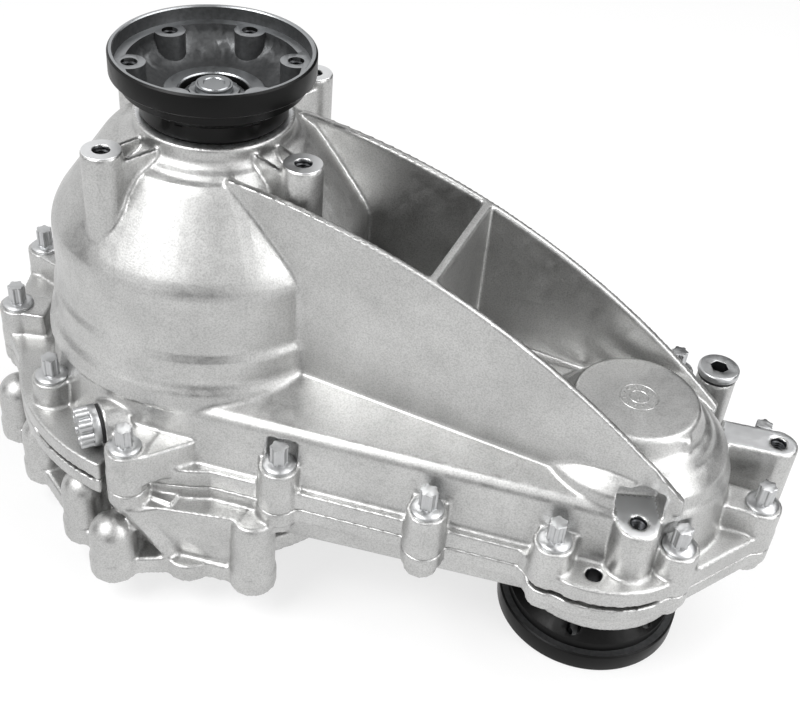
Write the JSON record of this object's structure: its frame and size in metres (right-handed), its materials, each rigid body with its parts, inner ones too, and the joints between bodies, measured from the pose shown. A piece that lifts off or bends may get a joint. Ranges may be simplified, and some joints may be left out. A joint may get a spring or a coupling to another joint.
{
  "type": "transfer case",
  "caption": "Two-output transfer case: cast housing with long curved fins, bolted joint flange, planetary differential, chain drive and black output flanges.",
  "frame": {"origin": "on the main axis, in the machined face that bolts to the gearbox", "axes": "+Z along the main axis towards the rear output flange, +X towards the front output axis, +Y away from the camera in the picture"},
  "size_m": [0.4856, 0.2644, 0.2924],
  "materials": {
    "cast_aluminium": "sand-cast and shot-blasted",
    "black_flange": "satin black coating on steel",
    "bolt_steel": "zinc-plated",
    "machined_steel": "turned and ground",
    "rubber": "matte",
    "bronze": "plain"
  },
  "bodies": {
    "root": {"rear_casing": "cast_aluminium", "front_casing": "cast_aluminium", "casing_bolts": "bolt_steel", "casing_dowels": "machined_steel", "fill_plug": "bolt_steel", "fill_plug_seal": "rubber", "drain_plug": "bolt_steel", "drain_plug_seal": "rubber", "rear_output_seal": "rubber", "rear_bearing_outer_race": "machined_steel", "rear_bearing_balls": "machined_steel", "rear_snap_ring": "machined_steel", "drive_bearing_outer_race": "machined_steel", "drive_bearing_balls": "machined_steel", "input_seal": "rubber", "chain_outer_plates": "machined_steel", "chain_inner_plates": "machined_steel", "chain_pins": "machined_steel", "front_output_seal": "rubber", "front_snap_ring": "machined_steel", "nose_bearing_outer_race": "machined_steel", "nose_bearing_balls": "machined_steel", "cap_bearing_outer_race": "machined_steel", "cap_bearing_balls": "machined_steel"},
    "front_drive": {"drive_sprocket": "machined_steel", "sun_gear": "machined_steel", "drive_bearing_inner_race": "machined_steel"},
    "input": {"input_shaft": "machined_steel", "planet_carrier": "machined_steel", "planet_pins": "machined_steel", "planet_washers": "bronze", "needle_bearings": "machined_steel"},
    "rear_output": {"ring_gear": "machined_steel", "rear_output_shaft": "machined_steel", "rear_flange": "black_flange", "rear_flange_nut": "machined_steel", "rear_bearing_inner_race": "machined_steel"},
    "front_output": {"driven_sprocket": "machined_steel", "front_output_shaft": "machined_steel", "front_flange": "black_flange", "front_flange_nut": "machined_steel", "nose_bearing_inner_race": "machined_steel", "cap_bearing_inner_race": "machined_steel"},
    "planet_1": {"planet_gear_1": "machined_steel"},
    "planet_2": {"planet_gear_2": "machined_steel"},
    "planet_3": {"planet_gear_3": "machined_steel"},
    "planet_4": {"planet_gear_4": "machined_steel"}
  },
  "joints": [
    {"name": "drive_spin", "type": "hinge", "parent": "root", "child": "front_drive", "pos_m": [0, 0, 0.06], "axis": [0, 0, 1], "continuous": true, "deforming": ["chain_outer_plates", "chain_inner_plates", "chain_pins"]},
    {"name": "differential_spin", "type": "hinge", "parent": "front_drive", "child": "input", "pos_m": [0, 0, 0.12], "axis": [0, 0, 1], "continuous": true},
    {"name": "rear_output_spin", "type": "hinge", "parent": "front_drive", "child": "rear_output", "pos_m": [0, 0, 0.2], "axis": [0, 0, 1], "continuous": true},
    {"name": "front_output_spin", "type": "hinge", "parent": "root", "child": "front_output", "pos_m": [0.24765, 0, 0.06], "axis": [0, 0, 1], "continuous": true},
    {"name": "planet_1_spin", "type": "hinge", "parent": "input", "child": "planet_1", "pos_m": [0.048, 0, 0.123], "axis": [0, 0, 1], "continuous": true},
    {"name": "planet_2_spin", "type": "hinge", "parent": "input", "child": "planet_2", "pos_m": [0, 0.048, 0.123], "axis": [0, 0, 1], "continuous": true},
    {"name": "planet_3_spin", "type": "hinge", "parent": "input", "child": "planet_3", "pos_m": [-0.048, 0, 0.123], "axis": [0, 0, 1], "continuous": true},
    {"name": "planet_4_spin", "type": "hinge", "parent": "input", "child": "planet_4", "pos_m": [0, -0.048, 0.123], "axis": [0, 0, 1], "continuous": true}
  ],
  "couplings": [
    {"joint": "rear_output_spin", "follows": "differential_spin", "ratio": 1.4545},
    {"joint": "front_output_spin", "follows": "drive_spin", "ratio": 1},
    {"joint": "planet_1_spin", "follows": "differential_spin", "ratio": 1.6667},
    {"joint": "planet_2_spin", "follows": "differential_spin", "ratio": 1.6667},
    {"joint": "planet_3_spin", "follows": "differential_spin", "ratio": 1.6667},
    {"joint": "planet_4_spin", "follows": "differential_spin", "ratio": 1.6667}
  ]
}
